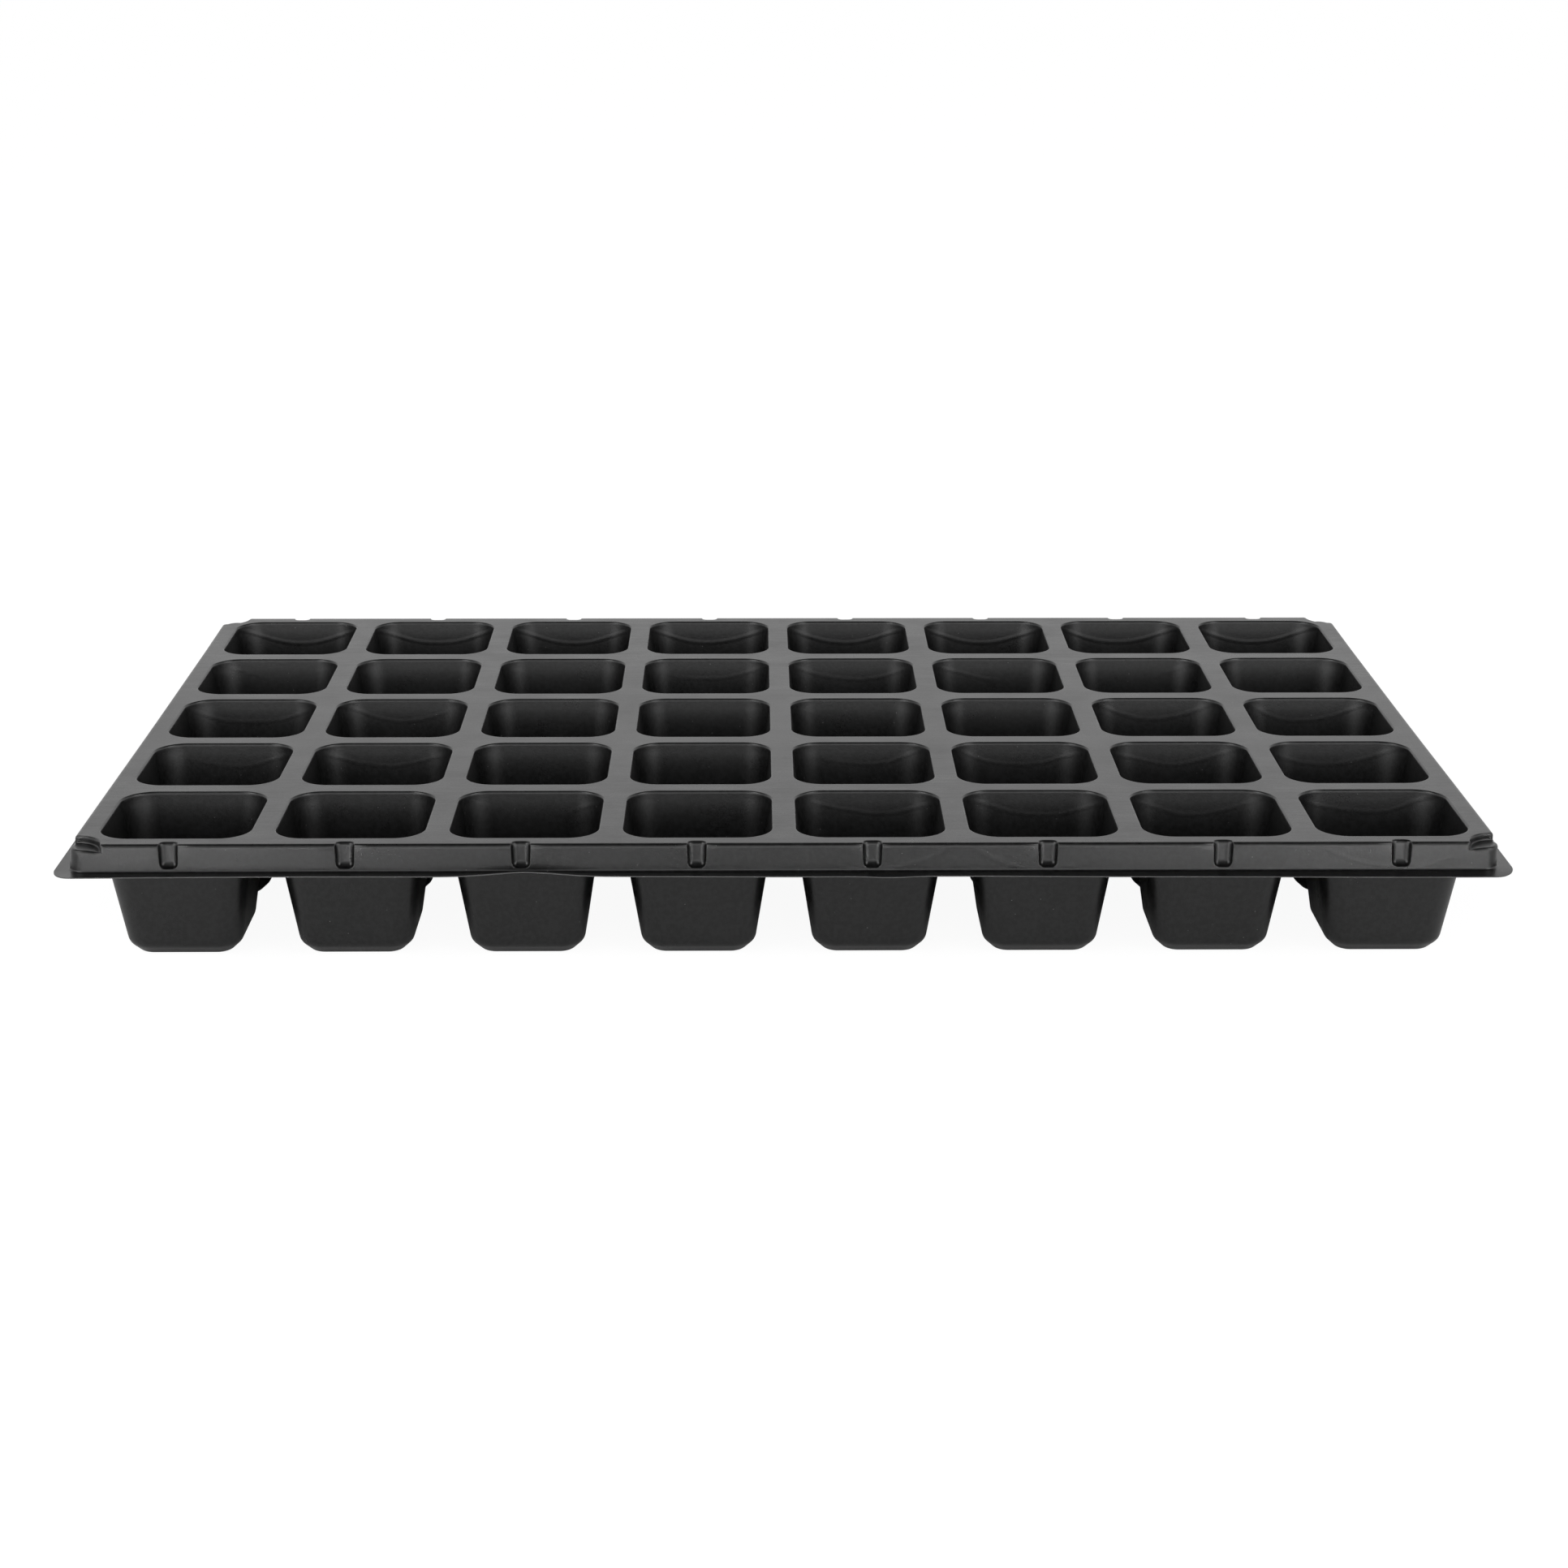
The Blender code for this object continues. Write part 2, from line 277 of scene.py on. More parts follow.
def rounded_sections(sections, bends):
    """Rounds the inner corners of a polyline that is carried over an array.

    sections has the polyline's points along its first axis. Each inner point with a bend is
    replaced by a parabola that leaves the runs on both sides at the bend's distance, or at less
    on a short run, which its two bends share by their sizes: (1-t)^2 start + 2t(1-t) corner +
    t^2 end. A row on each run just outside the parabola keeps the run's shading straight.
    """
    sections = np.asarray(sections, float)
    share = np.linspace(0.0, 1.0, BEND_STEPS).reshape((BEND_STEPS,) + (1,) * (sections.ndim - 1))
    rows = [sections[:1]]
    bends = [0.0, *bends, 0.0]
    for place in range(1, len(sections) - 1):
        bend = np.asarray(bends[place])
        if not bend.any():
            rows.append(sections[place:place + 1])
            continue
        corner = sections[place]
        back = sections[place - 1] - corner
        ahead = sections[place + 1] - corner
        back_length = np.linalg.norm(back, axis=-1, keepdims=True)
        ahead_length = np.linalg.norm(ahead, axis=-1, keepdims=True)
        back_room = back_length * BEND_SHARE * bend / (bend + bends[place - 1])
        ahead_room = ahead_length * BEND_SHARE * bend / (bend + bends[place + 1])
        reach = np.minimum(bend, np.minimum(back_room, ahead_room))
        to_start = back / np.maximum(back_length, WELD) * reach
        to_end = ahead / np.maximum(ahead_length, WELD) * reach
        rows.append((corner + to_start * BEND_MARGIN)[None])
        rows.append(corner + (1 - share) ** 2 * to_start + share ** 2 * to_end)
        rows.append((corner + to_end * BEND_MARGIN)[None])
    rows.append(sections[-1:])
    return np.concatenate(rows)


def evenly(path, count):
    """Points at even distances along a polyline."""
    path = np.asarray(path, float)
    travelled = np.concatenate(([0.0], np.cumsum(np.linalg.norm(np.diff(path, axis=0), axis=1))))
    wanted = np.linspace(0.0, travelled[-1], count)
    return np.stack([np.interp(wanted, travelled, path[:, axis]) for axis in range(path.shape[1])], axis=1)


def at_height(path, height):
    """A plan path lifted to one height."""
    path = np.asarray(path, float)
    return np.concatenate((path, np.full((len(path), 1), height)), axis=1)


def grown(values, start, length, size):
    """Grows from nothing at start to size, along a smooth step of the given length."""
    share = np.clip((values - start) / length, 0.0, 1.0)
    return size * share ** 2 * (3 - 2 * share)


def quarter_turn(quarter):
    """The matrix that turns plan points, one in each row, by quarter turns."""
    turn = quarter * math.pi / 2
    return np.array(((math.cos(turn), math.sin(turn)), (-math.sin(turn), math.cos(turn))))


def turned(grid, quarter, place=(0.0, 0.0, 0.0)):
    """A grid turned by quarter turns about the upright axis and moved to its place."""
    rotation = np.eye(3)
    rotation[:2, :2] = quarter_turn(quarter)
    return grid @ rotation + np.array(place)


def as_handled(grid):
    """Bends the even tray into the one in the photograph.

    The front flange's edge is lifted and dropped by bells along the front, from nothing on the
    skirt to full at the edge. The ends are drawn out along smooth steps, the right skirt is tucked
    in and the flanges there are trimmed. The deck sags a little in its middle and lifts at its back.
    """
    x, y, z = np.moveaxis(grid, -1, 0)
    bent = grid.copy()
    out = np.clip((-y - HALF_WIDTH) / (SKIRT_FLARE + FLANGE_WIDTH), 0.0, 1.0)
    low = np.clip((DECK - z) / SKIRT_HEIGHT, 0.0, 1.0)
    for middle, half_width, rise in FLANGE_WAVES:
        bell = np.exp(-((x - middle) / half_width) ** 2)
        bent[..., 2] += rise * bell * (WAVE_START + (1 - WAVE_START) * out) * out * low ** 2
    sag = DECK_SAG * np.exp(-((y - SAG_PLACE) / SAG_HALF_WIDTH) ** 2)
    bent[..., 2] += (grown(y, *BACK_LIFT) - sag) * z / DECK
    beyond = (np.abs(x) - HALF_LENGTH - SKIRT_FLARE) / FLANGE_WIDTH
    past_right = np.clip(np.where(x > 0, beyond, 0.0), 0.0, 1.0)
    past_left = np.clip(np.where(x < 0, beyond, 0.0), 0.0, 1.0)
    bent[..., 0] += grown(x, *RIGHT_DRAW) + grown(x, *RIGHT_EDGE_DRAW) - grown(x, *RIGHT_TUCK) * low
    bent[..., 0] -= grown(-x, *LEFT_EDGE_DRAW)
    bent[..., 0] += LEFT_TRIM * past_left - RIGHT_TRIM * past_right
    return bent


def shell_mesh(name, grid, closed):
    """The face of a piece, made of a grid of points.

    Neighbours in the grid are joined by four-sided faces, round to the first column where the
    grid is closed, and points that fall together are welded. The open edges are sharp, so the
    deck stays flat up to its seams and the trimmed edges are crisp.
    """
    rows, columns = grid.shape[:2]
    points = as_handled(grid).reshape(-1, 3)
    places = np.arange(rows * columns).reshape(rows, columns)
    if closed:
        places = np.concatenate((places, places[:, :1]), axis=1)
    faces = np.stack((places[:-1, :-1], places[:-1, 1:], places[1:, 1:], places[1:, :-1]), axis=-1)
    mesh = bpy.data.meshes.new(name)
    mesh.from_pydata(points.tolist(), [], faces.reshape(-1, 4).tolist())
    shell = bmesh.new()
    shell.from_mesh(mesh)
    bmesh.ops.remove_doubles(shell, verts=shell.verts, dist=WELD)
    bmesh.ops.dissolve_degenerate(shell, edges=shell.edges, dist=WELD / 2)
    shell.to_mesh(mesh)
    shell.free()
    mesh.shade_smooth()
    used = np.empty(len(mesh.loops), np.int32)
    mesh.loops.foreach_get("edge_index", used)
    open_edges = np.bincount(used, minlength=len(mesh.edges)) == 1
    mesh.attributes.new("sharp_edge", "BOOLEAN", "EDGE").data.foreach_set("value", open_edges)
    return mesh


def add_piece(name, grid, closed, materials):
    """Makes a piece of a grid of points, with the sheet's thickness behind it.

    The sheet is thinner at the flange's trimmed edge, which is all that lies past the skirt by more
    than half the flange's width.
    """
    mesh = shell_mesh(name, grid, closed)
    piece = bpy.data.objects.new(name, mesh)
    bpy.context.scene.collection.objects.link(piece)
    for material in materials:
        mesh.materials.append(material)
    spots = np.empty(len(mesh.vertices) * 3)
    mesh.vertices.foreach_get("co", spots)
    skirt_foot = (HALF_LENGTH + SKIRT_FLARE, HALF_WIDTH + SKIRT_FLARE)
    past_skirt = np.abs(spots.reshape(-1, 3)[:, :2]) - skirt_foot
    trimmed = past_skirt.max(axis=1) > FLANGE_WIDTH / 2
    thickness = piece.vertex_groups.new(name="thickness")
    thickness.add(np.flatnonzero(~trimmed).tolist(), 1.0, "REPLACE")
    thickness.add(np.flatnonzero(trimmed).tolist(), EDGE_SHARE, "REPLACE")
    sheet = piece.modifiers.new("sheet", "SOLIDIFY")
    sheet.vertex_group = thickness.name
    sheet.thickness = SHEET
    sheet.offset = -1.0
    sheet.use_even_offset = True
    sheet.material_offset_rim = 1
    return piece


def dress(piece, node):
    """The piece rides on the tray and stands for its node."""
    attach(piece, "root")
    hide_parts(node)


def square_outline():
    """A square of half width 1 and the directions that grow it into a rounded square.

    A rounded square of reach h and radius r is (h - r) times the corner places plus r times the
    directions, so every section of a cell uses the same two arrays.
    """
    along = np.linspace(-1.0, 1.0, SIDE_STEPS + 1)[1:-1]
    angle = np.linspace(0.0, math.pi / 2, ARC_STEPS + 1)
    side_place = np.stack((np.ones_like(along), along), axis=1)
    side_way = np.stack((np.ones_like(along), np.zeros_like(along)), axis=1)
    arc_place = np.ones((len(angle), 2))
    arc_way = np.stack((np.cos(angle), np.sin(angle)), axis=1)
    place = np.concatenate((side_place, arc_place))
    way = np.concatenate((side_way, arc_way))
    turns = [quarter_turn(quarter) for quarter in range(4)]
    places = np.concatenate([place @ turn for turn in turns])
    ways = np.concatenate([way @ turn for turn in turns])
    return places, ways


def tile_edge(lip, ways, column, row):
    """Where lines from the lip, square to it, meet the edge of the deck that the cell keeps.

    The tile is what lies inside four straight sides and, at the tray's corners, a slanted one.
    The column of points nearest to each of the tile's corners is put on that corner.
    """
    right = BAND_REACH if column == COLUMNS - 1 else PITCH / 2
    left = BAND_REACH if column == 0 else PITCH / 2
    back = BAND_REACH if row == ROWS - 1 else PITCH / 2
    front = BAND_REACH if row == 0 else PITCH / 2
    slant = math.sqrt(0.5)
    sides = [(1.0, 0.0, right), (0.0, 1.0, back), (-1.0, 0.0, left), (0.0, -1.0, front)]
    if column in (0, COLUMNS - 1) and row in (0, ROWS - 1):
        across = 1.0 if column else -1.0
        up = 1.0 if row else -1.0
        sides.append((across * slant, up * slant, CORNER_SEAM))
    sides = sorted(sides, key=lambda side: math.atan2(side[1], side[0]))
    normals = np.array(sides)[:, :2]
    reaches = np.array(sides)[:, 2]
    closing = np.maximum(ways @ normals.T, LEAST_CLOSING)
    distance = ((reaches - lip @ normals.T) / closing).min(axis=1)
    edge = lip + ways * distance[:, None]
    for first in range(len(sides)):
        pair = [first, (first + 1) % len(sides)]
        corner = np.linalg.solve(normals[pair], reaches[pair])
        nearest = np.linalg.norm(edge - corner, axis=1).argmin()
        edge[nearest] = corner
    return edge


def cell_grid(column, row):
    """One cell: deck, lip, steep collar, tapered wall, sloped foot, floor and drain hole.

    Its section is a polyline in (reach, corner radius, height), rounded at its bends, and each
    of its points becomes a rounded square. The floor's last run closes on the drain's circle.
    """
    floor = SHEET
    places, ways = square_outline()
    section = rounded_sections(
        ((LIP_REACH + LIP_MARGIN, LIP_RADIUS + LIP_MARGIN, DECK),
         (MOUTH_REACH, MOUTH_RADIUS, DECK),
         (MOUTH_REACH - COLLAR_DRAFT, MOUTH_RADIUS - COLLAR_DRAFT, DECK - COLLAR_HEIGHT),
         (WALL_FOOT_REACH, WALL_FOOT_RADIUS, floor + FOOT_RISE),
         (FLOOR_REACH, FLOOR_RADIUS, floor),
         (FLOOR_REACH - 2 * FLOOR_ROUND, FLOOR_RADIUS - FLOOR_ROUND, floor)),
        (LIP_ROUND, COLLAR_ROUND, WALL_FOOT_ROUND, FLOOR_ROUND))
    reach = section[:, 0, None, None]
    radius = section[:, 1, None, None]
    plan = (reach - radius) * places + radius * ways
    height = np.broadcast_to(section[:, 2, None, None], plan.shape[:2] + (1,))
    walls = np.concatenate((plan, height), axis=2)
    edge = at_height(tile_edge(plan[0], ways, column, row), DECK)
    last = plan[-1]
    drain = at_height(last / np.linalg.norm(last, axis=1, keepdims=True) * DRAIN_RADIUS, floor)
    grid = np.concatenate((edge[None], walls, drain[None]))
    middle = ((column - (COLUMNS - 1) / 2) * PITCH, (row - (ROWS - 1) / 2) * PITCH, 0.0)
    return grid + np.array(middle)


def long_stations():
    """Places along a long side: close together on the sides of the flutes, wide apart between them."""
    half = FLUTE_WIDTH / 2
    side = np.linspace(half, half - FLUTE_SIDE, FLUTE_SIDE_STEPS)
    back = np.linspace(-side[-1], side[-1], FLUTE_BACK_STEPS + 2)[1:-1]
    flute = np.concatenate((-side, back, side[::-1]))
    middles = (np.arange(COLUMNS) - (COLUMNS - 1) / 2) * PITCH
    end = HALF_LENGTH - CORNER_LENGTH
    starts = np.append(-end, middles + half)
    stops = np.append(middles - half, end)
    shares = np.linspace(0.0, 1.0, REST_STEPS + 2)[1:-1]
    rests = starts[:, None] + (stops - starts)[:, None] * shares
    places = np.concatenate(((-end, end), (middles[:, None] + flute).ravel(), rests.ravel()))
    return np.sort(places)


def flute_recess(along, height):
    """How deep the flutes are cut into the skirt at a place and a height.

    Each flute has an outline like a U, narrower at its foot and with round corners. The recess
    grows with the distance inside that outline along a quarter ellipse, up to the flute's flat
    back, and a smooth step rounds its outer edge.
    """
    across = np.abs((along / PITCH) % 1.0 - 0.5) * PITCH
    share_down = (DECK - height) / SKIRT_HEIGHT
    half = (FLUTE_WIDTH + (FLUTE_FOOT_WIDTH - FLUTE_WIDTH) * share_down) / 2
    to_side = FLUTE_CORNER_RADIUS - (half - across)
    to_foot = FLUTE_CORNER_RADIUS - (height - FLANGE - FLUTE_LEDGE)
    round_part = np.hypot(np.maximum(to_side, 0.0), np.maximum(to_foot, 0.0))
    inside = FLUTE_CORNER_RADIUS - round_part - np.minimum(np.maximum(to_side, to_foot), 0.0)
    share = np.clip(inside / FLUTE_SIDE, 0.0, 1.0)
    return np.sqrt(1 - (1 - share) ** 2) * grown(inside, 0.0, FLUTE_EDGE_ROUND, FLUTE_DEPTH)


def no_recess(along, height):
    """A plain skirt's recess: nothing at any place and height."""
    return np.zeros_like(along + height)


def rim_grid(along, edge, levels, recess):
    """A side of the rim: flange, flared skirt with its recesses, and the deck's rounded edge.

    The section at each place along the side is a polyline through the flange's edge, the skirt's
    foot, the skirt at each level, the deck's edge and the deck's seam.
    """
    heights = np.concatenate(((FLANGE, FLANGE), levels, (DECK, DECK)))
    reaches = edge + SKIRT_FLARE * (DECK - heights) / SKIRT_HEIGHT
    reaches[0] += FLANGE_WIDTH
    reaches[-1] -= STRIP_WIDTH
    x, z = np.meshgrid(along, heights)
    y = np.repeat(-reaches[:, None], len(along), axis=1)
    y[2:-1] += recess(x[2:-1], z[2:-1])
    bends = (SKIRT_FOOT_ROUND,) + (0.0,) * len(levels) + (EDGE_ROUND,)
    return rounded_sections(np.stack((x, y, z), axis=-1), bends)


def long_side_grid():
    """The front or back side, whose levels lie close together where the flutes end."""
    foot = FLANGE + FLUTE_LEDGE
    flute_levels = np.linspace(foot, foot + FLUTE_SIDE, FLUTE_SIDE_STEPS)
    levels = np.append(flute_levels, DECK - 2 * EDGE_ROUND)
    return rim_grid(long_stations(), HALF_WIDTH, levels, flute_recess)


def short_side_grid():
    """The left or right side, which is plain. Its stations let it follow the deck's sag."""
    end = HALF_WIDTH - CORNER_LENGTH
    along = np.linspace(-end, end, END_STATIONS)
    return rim_grid(along, HALF_LENGTH, (), no_recess)


def corner_paths():
    """Plans of a rim corner, from the front side to the right side, about the deck's corner.

    Returns the flange's edge, the skirt's foot, the pocket floor's outer edge, the foot and the
    top of the pocket's wall, and the deck's seam, all with the same number of points.
    """
    floor_flare = SKIRT_FLARE * POCKET_DEPTH / SKIRT_HEIGHT
    angle = np.linspace(0.0, math.pi / 2, POCKET_STEPS + 1)
    strip = np.linspace(-CORNER_LENGTH, -POCKET_RADIUS - EDGE_ROUND, STRIP_STATIONS)
    start = strip[-1]

    def with_straights(reach, path):
        """A path round the corner at even distances, with the straight strips before and after it."""
        away = np.full(STRIP_STATIONS - 1, reach)
        before = np.stack((strip[:-1], -away), axis=1)
        after = np.stack((away, -strip[-2::-1]), axis=1)
        return np.concatenate((before, evenly(path, TURN_STATIONS), after))

    def outline(reach, radius):
        """Straight, round the corner and straight again, outside the deck's edges by reach."""
        middle = reach - radius
        arc = np.stack((middle + radius * np.sin(angle), -middle - radius * np.cos(angle)), axis=1)
        return with_straights(reach, np.concatenate((((start, -reach),), arc, ((reach, -start),))))

    def wall(reach):
        """Along the deck's edge, round into the pocket's hollow arc and out along the other edge."""
        arc = np.stack((-POCKET_RADIUS * np.cos(angle), POCKET_RADIUS * np.sin(angle)), axis=1)
        entry = ((start, -reach), (-POCKET_RADIUS, -reach))
        leaving = ((reach, POCKET_RADIUS), (reach, -start))
        path = np.concatenate((entry, arc[POCKET_ARC_SKIP:-POCKET_ARC_SKIP], leaving))
        bends = [0.0] * (len(path) - 2)
        bends[0] = EDGE_ROUND
        bends[-1] = EDGE_ROUND
        return with_straights(reach, rounded_sections(path, bends))

    cut = 2 * DECK_REACH - CORNER_SEAM * math.sqrt(2) - STRIP_WIDTH
    top = wall(0.0)
    seam = evenly(((-CORNER_LENGTH, STRIP_WIDTH), (-cut, STRIP_WIDTH), (-STRIP_WIDTH, cut),
                   (-STRIP_WIDTH, CORNER_LENGTH)), len(top))
    return (outline(SKIRT_FLARE + FLANGE_WIDTH, FLANGE_CORNER_RADIUS),
            outline(SKIRT_FLARE, SKIRT_CORNER_RADIUS + SKIRT_FLARE - floor_flare),
            outline(floor_flare, SKIRT_CORNER_RADIUS),
            wall(floor_flare), top, seam)


def corner_grid():
    """A rim corner: flange, rounded skirt, pocket floor, pocket wall and deck, about the deck's corner.

    The section at each point along the corner is a polyline through its plans. The pocket floor's
    outer edge rises with the floor's width, up to a limit, and the deck's edge is rounded less
    where it is the pocket's edge.
    """
    heights = (FLANGE, FLANGE, DECK - POCKET_DEPTH, DECK - POCKET_DEPTH, DECK, DECK)
    sections = np.array([at_height(path, height) for path, height in zip(corner_paths(), heights)])
    station = np.arange(sections.shape[1])
    from_end = np.minimum(station, station[::-1])
    inside = np.clip((from_end - STRIP_STATIONS + 1) / BEND_STEPS, 0.0, 1.0)[:, None]
    floor_width = np.linalg.norm(sections[2] - sections[3], axis=1)
    sections[2, :, 2] += np.minimum(POCKET_FLOOR_SLOPE * floor_width, POCKET_FLOOR_RISE)
    edge_round = EDGE_ROUND + (POCKET_EDGE_ROUND - EDGE_ROUND) * inside
    return rounded_sections(sections, (SKIRT_FOOT_ROUND, EDGE_ROUND, POCKET_ROUND, edge_round))


class Wire:
    """An output socket in a shader tree. Arithmetic on it adds Math nodes."""

    def __init__(self, tree, socket=None):
        self.tree = tree
        self.socket = socket

    def add(self, kind, settings, sockets, output=0):
        """Adds a node of any kind: its settings first, then the values or links of its sockets."""
        node = self.tree.nodes.new(kind)
        for name, value in settings.items():
            setattr(node, name, value)
        for name, value in sockets.items():
            if isinstance(value, Wire):
                self.tree.links.new(value.socket, node.inputs[name])
            else:
                node.inputs[name].default_value = value
        return Wire(self.tree, node.outputs[output] if node.outputs else None)

    def math(self, operation, *values):
        """A Math node with the given values or wires."""
        return self.add("ShaderNodeMath", {"operation": operation}, dict(enumerate(values)))

    def __add__(self, other):
        return self.math("ADD", self, other)

    def __radd__(self, other):
        return self.math("ADD", other, self)

    def __sub__(self, other):
        return self.math("SUBTRACT", self, other)

    def __rsub__(self, other):
        return self.math("SUBTRACT", other, self)

    def __mul__(self, other):
        return self.math("MULTIPLY", self, other)

    def __rmul__(self, other):
        return self.math("MULTIPLY", other, self)

    def between(self, low, high):
        """0 below low, 1 above high, and smooth between them."""
        return self.add("ShaderNodeMapRange", {"interpolation_type": "SMOOTHSTEP"},
                        {"Value": self, "From Min": low, "From Max": high})


def new_material(name):
    """An empty material and a wire to start its tree from."""
    material = bpy.data.materials.new(name)
    material.use_nodes = True
    material.node_tree.nodes.clear()
    return material, Wire(material.node_tree)


def parts_of(vector):
    """The X, Y and Z of a vector."""
    return [vector.add("ShaderNodeSeparateXYZ", {}, {"Vector": vector}, axis) for axis in "XYZ"]


def noise(place, scale, detail, roughness=0.5):
    """Noise at a place: about 0.5, with more fine detail where it is rougher."""
    return place.add("ShaderNodeTexNoise", {}, {
        "Vector": place, "Scale": scale, "Detail": detail, "Roughness": roughness})


def blend(share, first, second):
    """A colour that turns from the first into the second as the share grows."""
    return share.add("ShaderNodeMix", {"data_type": "RGBA"}, {"Factor": share, 6: first, 7: second}, 2)


def chill_marks(place):
    """Arcs on the walls where the sheet cooled on the mould, and where the last row's walls are.

    An arc hangs in each cell: its height falls to its lowest in the cell's middle by a parabola, and
    noise makes it drift. It shows in patches, and all along in the last row.
    """
    across, back, height = parts_of(place)
    cells = across * (1 / PITCH)
    in_cell = cells.math("FRACT", cells) - 0.5
    rear = back.between(*REAR_START) * (1 - back.between(*REAR_END))
    drift = (noise(place, DRIFT_SCALE, 1.0) - 0.5) * (CHILL_DRIFT - REAR_STEADINESS * rear)
    arc = DECK - CHILL_DROP + in_cell * in_cell * CHILL_BOW + drift
    away = height.math("ABSOLUTE", height - arc)
    patches = noise(place, PATCH_SCALE, 0.0).between(*PATCH_RANGE)
    return (1 - away.between(0.0, CHILL_HALF_WIDTH)) * (rear + (1 - rear) * patches), rear


def dust_specks(place):
    """Round specks in some of the cells of a Voronoi pattern."""
    cell = {"Vector": place, "Scale": DUST_SCALE}
    distance = place.add("ShaderNodeTexVoronoi", {}, cell, "Distance")
    middle = place.add("ShaderNodeTexVoronoi", {}, cell, "Position")
    chosen = place.add("ShaderNodeTexWhiteNoise", {}, {"Vector": middle}, "Value")
    return (1 - distance.between(*DUST_RADIUS)) * chosen.between(*DUST_CHOICE)


def black_plastic():
    """Satin black plastic: drawn lines on the flat deck, fine grain all over, dust in pale specks."""
    material, tree = new_material("black_plastic")
    place = tree.add("ShaderNodeTexCoord", {}, {}, "Object")
    deck = parts_of(place)[2].between(*DECK_FADE)
    drawn = tree.add("ShaderNodeMapping", {}, {"Vector": place, "Scale": LINE_SCALE})
    dashed = tree.add("ShaderNodeMapping", {}, {"Vector": place, "Scale": DASH_SCALE})
    long_lines = noise(drawn, 1.0, 3.0, STREAK_ROUGHNESS)
    dashes = noise(dashed, 1.0, 2.0, STREAK_ROUGHNESS)
    lines = long_lines * LINE_SHARE + dashes * DASH_SHARE
    grain = noise(place, GRAIN_SCALE, 2.0)
    cloud = noise(place, CLOUD_SCALE, 4.0)
    peel = noise(place, PEEL_SCALE, 3.0)
    chill, rear = chill_marks(place)
    black = blend(peel.between(*PEEL_RANGE), BLACK_LOW, BLACK_HIGH)
    colour = blend(dust_specks(place) * DUST_SHARE, black, DUST)
    roughness = (ROUGHNESS + deck * (lines - 0.5) * LINE_ROUGHNESS
                 + (cloud - 0.5) * CLOUD_ROUGHNESS + (grain - 0.5) * GRAIN_ROUGHNESS)
    wall_relief = peel * PEEL_RELIEF + chill * (CHILL_RELIEF + REAR_CHILL_RELIEF * rear)
    relief = grain * GRAIN_RELIEF + deck * lines * LINE_RELIEF + (1 - deck) * wall_relief
    bump = tree.add("ShaderNodeBump", {}, {
        "Strength": RELIEF_STRENGTH, "Distance": RELIEF_HEIGHT, "Height": relief})
    shader = tree.add("ShaderNodeBsdfPrincipled", {}, {
        "Base Color": colour, "Roughness": roughness, "Normal": bump, "IOR": PLASTIC_IOR})
    tree.add("ShaderNodeOutputMaterial", {}, {"Surface": shader})
    return material


def cut_edge():
    """The trimmed edge of the sheet: a little paler and duller than its faces."""
    material, tree = new_material("cut_edge")
    place = tree.add("ShaderNodeTexCoord", {}, {}, "Object")
    grain = noise(place, CUT_GRAIN_SCALE, 2.0)
    shader = tree.add("ShaderNodeBsdfPrincipled", {}, {
        "Base Color": blend(grain, CUT_LOW, CUT_HIGH),
        "Roughness": CUT_ROUGHNESS + grain * CUT_GRAIN_ROUGHNESS})
    tree.add("ShaderNodeOutputMaterial", {}, {"Surface": shader})
    return material


def dress_tray():
    """Makes every piece of the tray and dresses its node with it."""
    materials = (black_plastic(), cut_edge())
    for row in range(ROWS):
        for column in range(COLUMNS):
            node = f"cell_r{row + 1}_c{column + 1}"
            dress(add_piece(node + "_shell", cell_grid(column, row), True, materials), node)

    long_side = long_side_grid()
    short_side = short_side_grid()
    sides = (("rim_front", long_side, 0), ("rim_right", short_side, 1),
             ("rim_back", long_side, 2), ("rim_left", short_side, 3))
    for node, grid, quarter in sides:
        dress(add_piece(node + "_shell", turned(grid, quarter), False, materials), node)

    corner = corner_grid()
    corners = (("corner_front_right", 1, -1), ("corner_back_right", 1, 1),
               ("corner_back_left", -1, 1), ("corner_front_left", -1, -1))
    for quarter, (node, side, end) in enumerate(corners):
        grid = turned(corner, quarter, (side * HALF_LENGTH, end * HALF_WIDTH, 0.0))
        dress(add_piece(node + "_shell", grid, False, materials), node)


def add_floor():
    """A pale floor that looks white to the camera and keeps the tray's soft shadow."""
    material, tree = new_material("floor")
    seen = tree.add("ShaderNodeLightPath", {}, {}, "Is Camera Ray")
    matt = tree.add("ShaderNodeBsdfDiffuse", {}, {"Color": FLOOR_COLOUR})
    glow = tree.add("ShaderNodeEmission", {}, {"Color": WHITE, "Strength": FLOOR_GLOW})
    both = tree.add("ShaderNodeMixShader", {}, {0: seen * FLOOR_GLOW_SHARE, 1: matt, 2: glow})
    tree.add("ShaderNodeOutputMaterial", {}, {"Surface": both})
    bpy.ops.mesh.primitive_plane_add(size=FLOOR_SIZE, location=(0.0, 0.0, -FLOOR_DROP))
    floor = bpy.context.object
    floor.name = "floor"
    floor.data.materials.append(material)


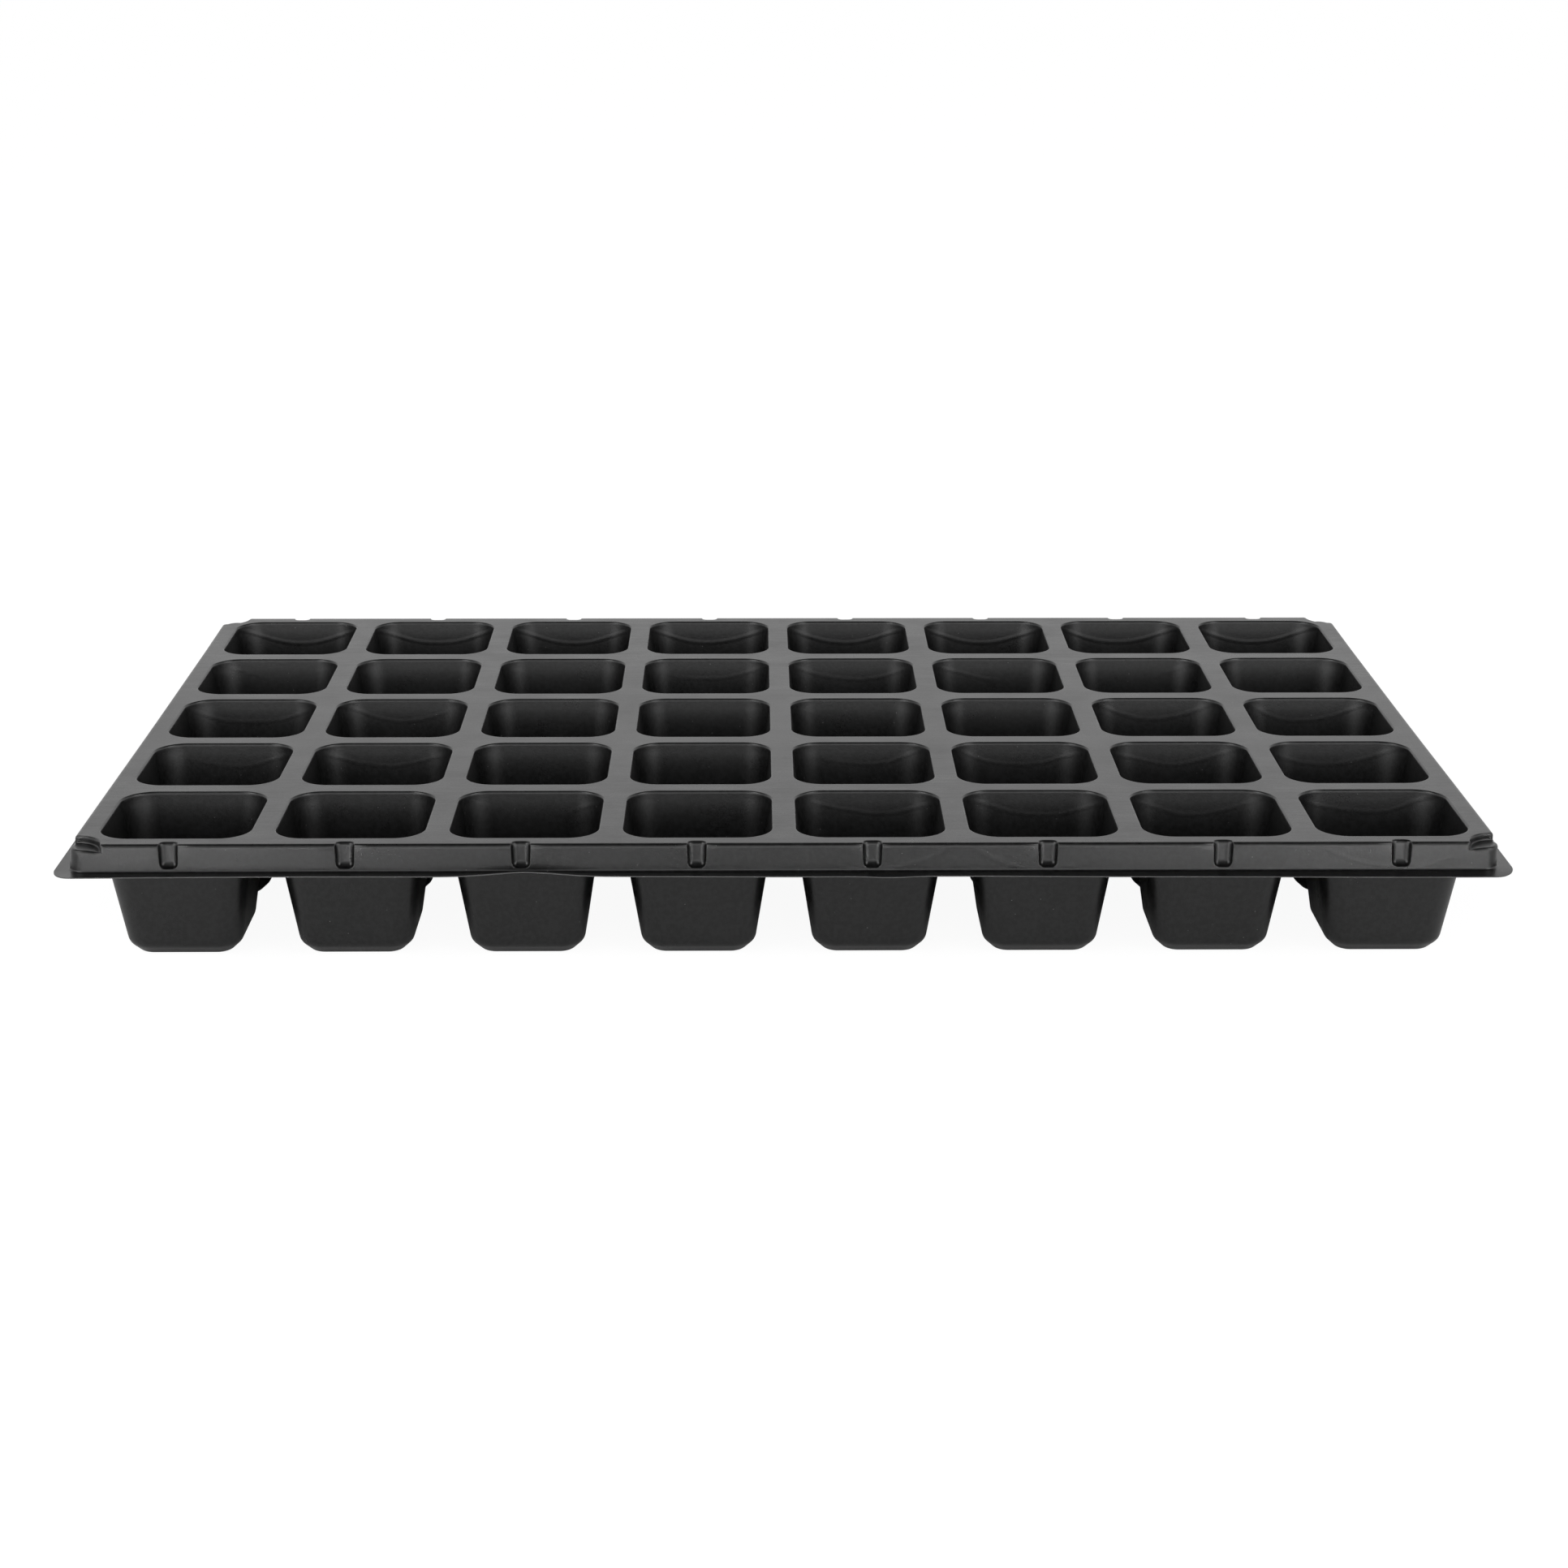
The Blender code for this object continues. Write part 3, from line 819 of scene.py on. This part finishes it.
def add_lamp(name, place, aim_place, energy, mirrored, spread):
    """A soft square lamp aimed at a place. One that isn't mirrored lights only matt surfaces."""
    data = bpy.data.lights.new(name, "AREA")
    data.shape = "SQUARE"
    data.size = MIRRORED_LAMP_SIZE if mirrored else MATT_LAMP_SIZE
    data.energy = energy
    data.spread = math.radians(spread)
    lamp = bpy.data.objects.new(name, data)
    bpy.context.scene.collection.objects.link(lamp)
    lamp.visible_glossy = mirrored
    lamp.visible_camera = False
    aim = (Vector(aim_place) - Vector(place)).to_track_quat("-Z", "Y").to_matrix().to_4x4()
    lamp.matrix_world = Matrix.Translation(Vector(place)) @ aim


def light_scene():
    """A studio that the camera sees white, with soft lamps.

    The tray sees it brighter low in front, most of all a little to the sides, and dark overhead.
    """
    world = bpy.data.worlds.new("studio")
    bpy.context.scene.world = world
    world.use_nodes = True
    world.node_tree.nodes.clear()
    tree = Wire(world.node_tree)
    seen = tree.add("ShaderNodeLightPath", {}, {}, "Is Camera Ray")
    across, back, rise = parts_of(tree.add("ShaderNodeTexCoord", {}, {}, "Generated"))
    front = 1 - back.between(*FRONT_FADE)
    aside = across.math("ABSOLUTE", across)
    flanks = aside.between(*FLANK_START) * (1 - aside.between(*FLANK_END))
    low = 1 - rise.between(*LOW_FADE)
    overhead = 1 - rise.between(*OVERHEAD_FADE) * OVERHEAD_DIMMING
    around = (1 + front * low * (FRONT_GLOW + flanks * FLANK_GLOW)) * overhead
    strength = seen + (1 - seen) * around
    glow = tree.add("ShaderNodeBackground", {}, {"Color": WHITE, "Strength": strength})
    tree.add("ShaderNodeOutputWorld", {}, {"Surface": glow})
    for lamp in LAMPS:
        add_lamp(*lamp)


def place_camera():
    """Stands the camera where the photograph was taken from."""
    data = bpy.data.cameras.new("camera")
    data.lens = CAMERA_LENS
    data.sensor_width = CAMERA_SENSOR
    data.sensor_height = CAMERA_SENSOR
    camera = bpy.data.objects.new("camera", data)
    bpy.context.scene.collection.objects.link(camera)
    turn = (Matrix.Rotation(math.radians(CAMERA_YAW), 4, "Z")
            @ Matrix.Rotation(math.radians(90.0 - CAMERA_PITCH), 4, "X")
            @ Matrix.Rotation(math.radians(CAMERA_ROLL), 4, "Z"))
    camera.matrix_world = Matrix.Translation(Vector(CAMERA_PLACE)) @ turn
    bpy.context.scene.camera = camera


dress_tray()
add_floor()
light_scene()
place_camera()
bpy.context.scene.view_settings.view_transform = "Standard"
